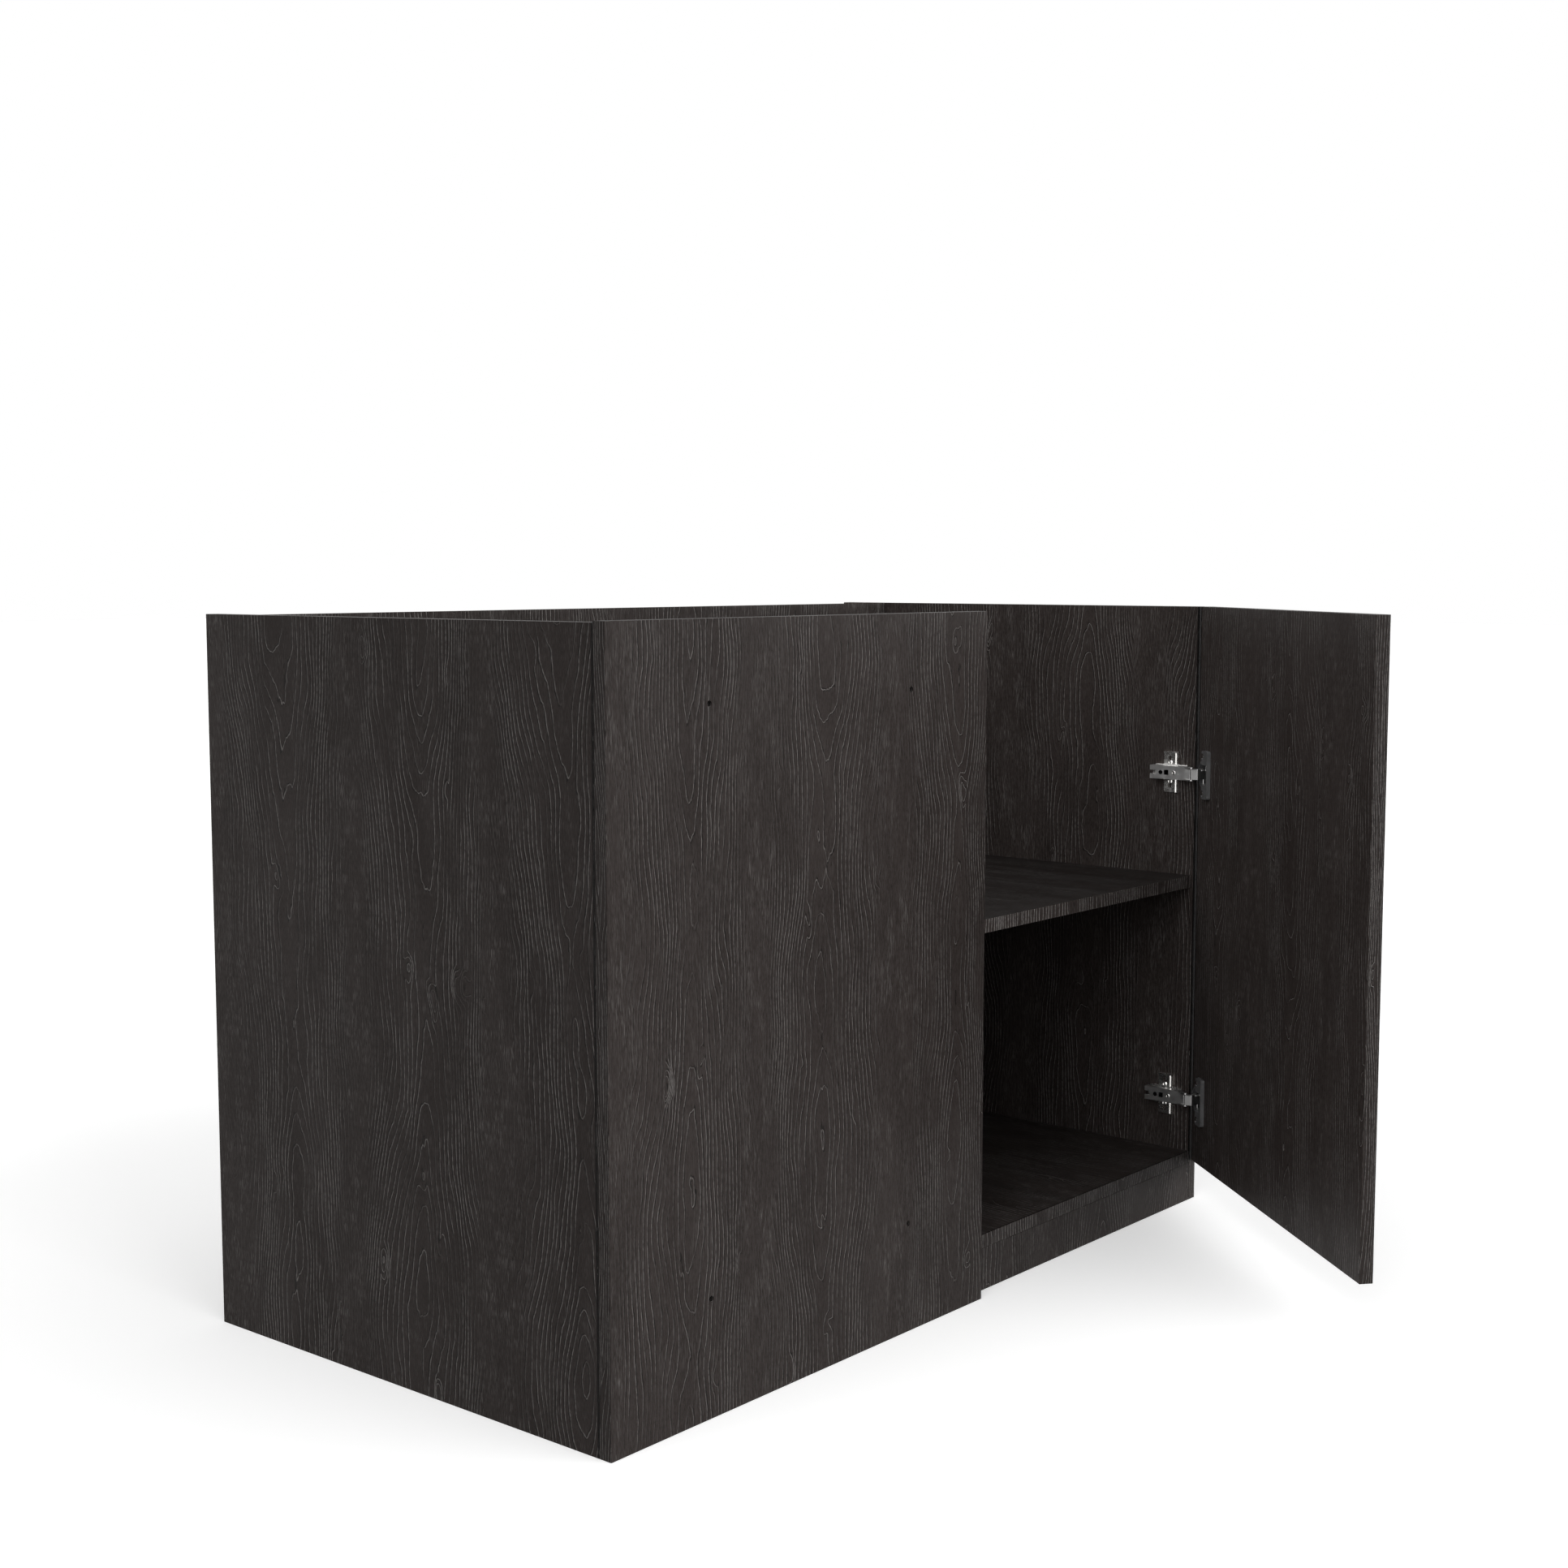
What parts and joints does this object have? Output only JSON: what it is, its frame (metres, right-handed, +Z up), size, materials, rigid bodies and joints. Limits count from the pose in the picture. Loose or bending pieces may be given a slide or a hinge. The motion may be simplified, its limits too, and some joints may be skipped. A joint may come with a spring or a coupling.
{
  "type": "blind-corner base cabinet",
  "caption": "Floor-standing corner base cabinet with an open top, a fixed blind front panel, a hinged door on concealed cup hinges, a shelf and a plinth.",
  "frame": {"origin": "On the floor, in the carcass front plane, midway between the sides (at the foot of the plinth).", "axes": "+X along the front towards the hinged door, +Y into the cabinet, +Z up."},
  "size_m": [1.116, 0.9847, 0.7815],
  "materials": {
    "laminate": "brushed dark laminate",
    "back_board": "brushed dark laminate",
    "dowel_wood": "plain beech",
    "arm_steel": "nickel-plated, satin",
    "bright_steel": "nickel-plated, bright",
    "cup_dark": "dark anthracite"
  },
  "bodies": {
    "carcass": {"angle_brackets": "bright_steel", "arm_pins_lower": "bright_steel", "arm_pins_upper": "bright_steel", "arm_screws_lower": "bright_steel", "arm_screws_upper": "bright_steel", "back_panel": "back_board", "blind_front_panel": "laminate", "bottom_panel": "laminate", "bracket_screws": "bright_steel", "cam_bolts": "bright_steel", "cam_locks": "bright_steel", "dowels": "dowel_wood", "hinge_arm_lower": "arm_steel", "hinge_arm_upper": "arm_steel", "mounting_plate_lower": "bright_steel", "mounting_plate_upper": "bright_steel", "plate_screws_lower": "bright_steel", "plate_screws_upper": "bright_steel", "plinth": "laminate", "rear_plinth": "laminate", "rear_stretcher_bottom": "laminate", "rear_stretcher_top": "laminate", "shelf": "laminate", "shelf_pins": "bright_steel", "side_panel_left": "laminate", "side_panel_right": "laminate"},
    "long_links": {"long_link_lower": "arm_steel", "long_link_upper": "arm_steel"},
    "short_links": {"short_link_lower": "arm_steel", "short_link_upper": "arm_steel"},
    "door": {"cup_cover_lower": "cup_dark", "cup_cover_upper": "cup_dark", "cup_pins_lower": "bright_steel", "cup_pins_upper": "bright_steel", "cup_screws_lower": "bright_steel", "cup_screws_upper": "bright_steel", "door": "laminate", "hinge_cup_lower": "cup_dark", "hinge_cup_upper": "cup_dark"}
  },
  "joints": [
    {"name": "long_links_swing", "type": "hinge", "parent": "carcass", "child": "long_links", "pos_m": [0.52585, -0.0018, 0.138], "axis": [0, 0, 1], "range_deg": [-28.7, 31.9]},
    {"name": "door_swing", "type": "hinge", "parent": "long_links", "child": "door", "pos_m": [0.53893, -0.0124, 0.138], "axis": [0, 0, 1], "range_deg": [-81.85, 73.67]},
    {"name": "short_links_swing", "type": "hinge", "parent": "carcass", "child": "short_links", "pos_m": [0.5378, -0.0103, 0.138], "axis": [0, 0, 1], "range_deg": [-61.4, 68.2]}
  ],
  "couplings": [
    {"joint": "long_links_swing", "follows": "door_swing", "ratio": -0.38913},
    {"joint": "short_links_swing", "follows": "door_swing", "ratio": -0.83262}
  ]
}
